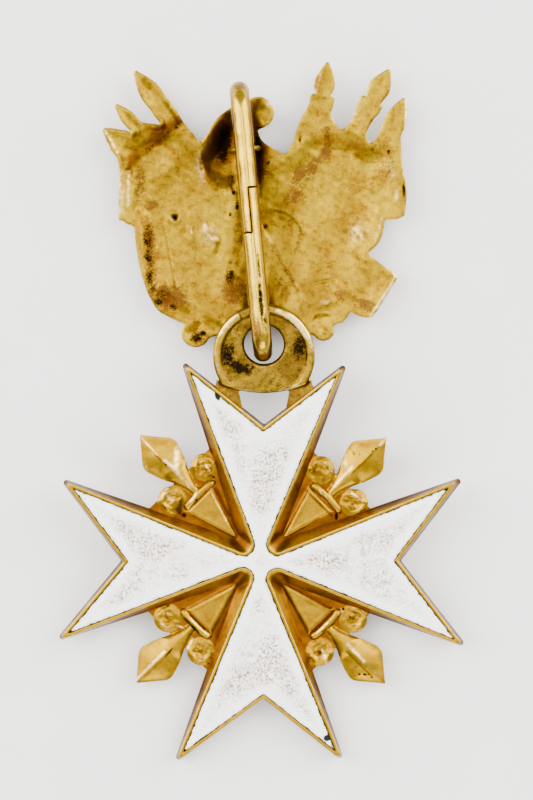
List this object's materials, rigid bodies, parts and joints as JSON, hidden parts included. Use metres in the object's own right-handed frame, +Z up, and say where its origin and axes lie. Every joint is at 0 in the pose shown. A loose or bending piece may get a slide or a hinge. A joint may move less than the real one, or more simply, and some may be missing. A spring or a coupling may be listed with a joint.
{
  "type": "order neck badge",
  "caption": "Enamelled eight-pointed cross with lilies in its angles, hung by an eye and a long wire loop under a hollow cast trophy of arms; it lies back upwards.",
  "frame": {"origin": "middle of the underside of the bounding box, on the surface that the badge lies on", "axes": "+Y from the cross towards the trophy, +X to the right of the badge's back, +Z up from the surface"},
  "size_m": [0.054, 0.0933, 0.0112],
  "materials": {
    "cross_gilt": "gilt metal, satin, dark orange in the hollows",
    "white_enamel": "fired white enamel, glossy",
    "loop_gilt": "gilt wire, worn bright",
    "trophy_gilt": "pale gilt casting, brushed and stained"
  },
  "bodies": {
    "root": {"cross_frame": "cross_gilt", "enamel_back": "white_enamel", "enamel_front": "white_enamel", "suspension_loop": "loop_gilt", "trophy_of_arms": "trophy_gilt"}
  },
  "joints": []
}
